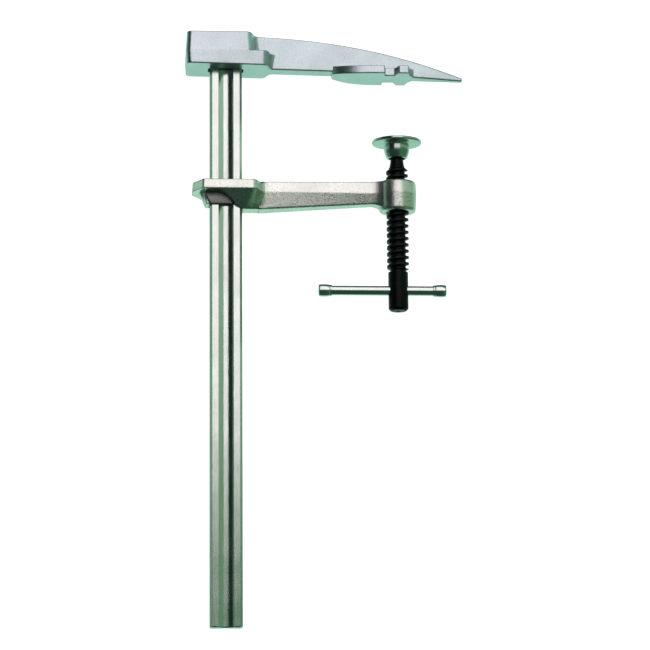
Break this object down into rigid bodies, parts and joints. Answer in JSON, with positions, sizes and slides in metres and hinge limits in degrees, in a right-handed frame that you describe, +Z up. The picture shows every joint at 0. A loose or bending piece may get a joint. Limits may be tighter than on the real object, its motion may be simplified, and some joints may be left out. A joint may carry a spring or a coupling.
{
  "type": "rafter clamp",
  "caption": "Screw clamp with a forged fixed arm that ends in a point over a broad pressing foot, a cast arm sliding on a grooved flat bar, and a swivel-pad screw with a cross handle.",
  "frame": {"origin": "middle of the fixed arm's pressing face, on the axis of the screw", "axes": "+Y along the bar towards the fixed arm, +X along the arms from the bar to the screw, +Z up through the thickness of the bar as the clamp lies on its side"},
  "size_m": [0.2599, 0.5545, 0.049],
  "materials": {
    "plated_bar": "drawn and plated",
    "plated_forging": "satin plated",
    "plated_casting": "grainy, plated",
    "black_screw": "blackened, oiled",
    "plated_pad": "bright plated",
    "spring_steel": "bare spring steel",
    "plated_handle": "bright plated"
  },
  "bodies": {
    "frame": {"bar": "plated_bar", "fixed_arm": "plated_forging"},
    "sliding_arm": {"sliding_arm": "plated_casting"},
    "screw_follower": {"pad_retaining_ring": "spring_steel"},
    "spindle": {"spindle": "black_screw"},
    "tommy_bar": {"tommy_bar": "plated_handle", "tommy_bar_knob_left": "plated_handle", "tommy_bar_knob_right": "plated_handle"},
    "pressure_pad": {"pressure_pad": "plated_pad"}
  },
  "joints": [
    {"name": "arm_slide", "type": "slide", "parent": "frame", "child": "sliding_arm", "axis": [0, 1, 0], "range_m": [-0.375, 0.019]},
    {"name": "screw_feed", "type": "slide", "parent": "sliding_arm", "child": "screw_follower", "axis": [0, 1, 0], "range_m": [-0.0201, 0.0361]},
    {"name": "screw_turn", "type": "hinge", "parent": "screw_follower", "child": "spindle", "pos_m": [0, -0.15, 0], "axis": [0, 1, 0], "range_deg": [-1200, 2160]},
    {"name": "tommy_bar_slide", "type": "slide", "parent": "spindle", "child": "tommy_bar", "axis": [1, 0, 0], "range_m": [-0.0225, 0.052]},
    {"name": "pad_tilt", "type": "hinge", "parent": "screw_follower", "child": "pressure_pad", "pos_m": [0, -0.0696, 0], "axis": [0, 0, 1], "range_deg": [-10, 10]}
  ],
  "couplings": [
    {"joint": "screw_feed", "follows": "screw_turn", "m_per_rad": 0.00095493}
  ]
}
